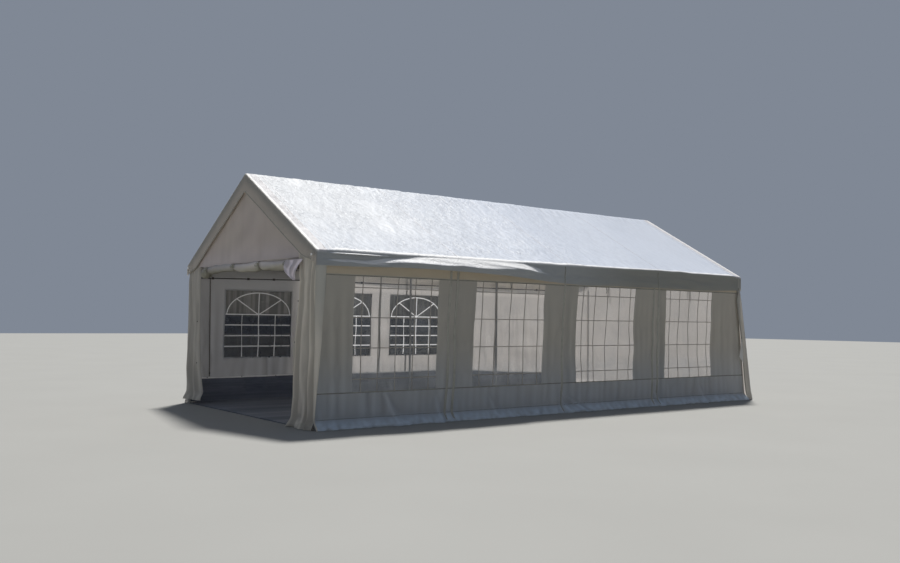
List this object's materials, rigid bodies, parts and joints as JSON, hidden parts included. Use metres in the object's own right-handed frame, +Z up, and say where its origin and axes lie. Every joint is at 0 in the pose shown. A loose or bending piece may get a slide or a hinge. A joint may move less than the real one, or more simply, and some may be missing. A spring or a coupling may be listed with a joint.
{
  "type": "party marquee tent",
  "caption": "Frame marquee with a pitched cloth cover, windowed side walls, an open doorway with a rolled-up door, and floor matting inside.",
  "frame": {"origin": "on the ground under the middle of the ridge", "axes": "+Y along the ridge away from the open doorway gable, +X towards the long wall with oblong windows, +Z up"},
  "size_m": [4, 8, 3.1578],
  "materials": {
    "frame_steel": "grey powder coat on round steel tube, satin",
    "cover_cloth": "white woven sheeting with a plastic face, crinkled, semi-gloss",
    "wall_cloth": "off-white woven sheeting, translucent, soft sheen, hanging folds",
    "clear_film": "clear flexible window film, slightly cloudy",
    "smoked_film": "smoked flexible window film",
    "matting": "dark blue-grey ribbed floor matting, matt"
  },
  "bodies": {
    "root": {"right_leg_1": "frame_steel", "right_leg_2": "frame_steel", "right_leg_3": "frame_steel", "right_leg_4": "frame_steel", "right_leg_5": "frame_steel", "left_leg_1": "frame_steel", "left_leg_2": "frame_steel", "left_leg_3": "frame_steel", "left_leg_4": "frame_steel", "left_leg_5": "frame_steel", "right_rafter_1": "frame_steel", "right_rafter_2": "frame_steel", "right_rafter_3": "frame_steel", "right_rafter_4": "frame_steel", "right_rafter_5": "frame_steel", "left_rafter_1": "frame_steel", "left_rafter_2": "frame_steel", "left_rafter_3": "frame_steel", "left_rafter_4": "frame_steel", "left_rafter_5": "frame_steel", "right_eave_rail": "frame_steel", "left_eave_rail": "frame_steel", "ridge_rail": "frame_steel", "roof_cover": "cover_cloth", "right_front_wall": "wall_cloth", "right_rear_wall": "wall_cloth", "left_window_wall": "wall_cloth", "left_rear_wall": "wall_cloth", "right_window_1": "clear_film", "right_window_2": "clear_film", "right_window_3": "clear_film", "right_window_4": "clear_film", "left_window_1": "smoked_film", "left_window_2": "smoked_film", "left_window_3": "smoked_film", "front_gable_cloth": "wall_cloth", "right_door_drape": "wall_cloth", "left_door_drape": "wall_cloth", "rolled_door": "wall_cloth", "rear_gable_cloth": "wall_cloth", "rear_left_panel": "wall_cloth", "rear_door_panel": "wall_cloth", "rear_right_panel": "wall_cloth", "floor_matting": "matting"}
  },
  "joints": []
}
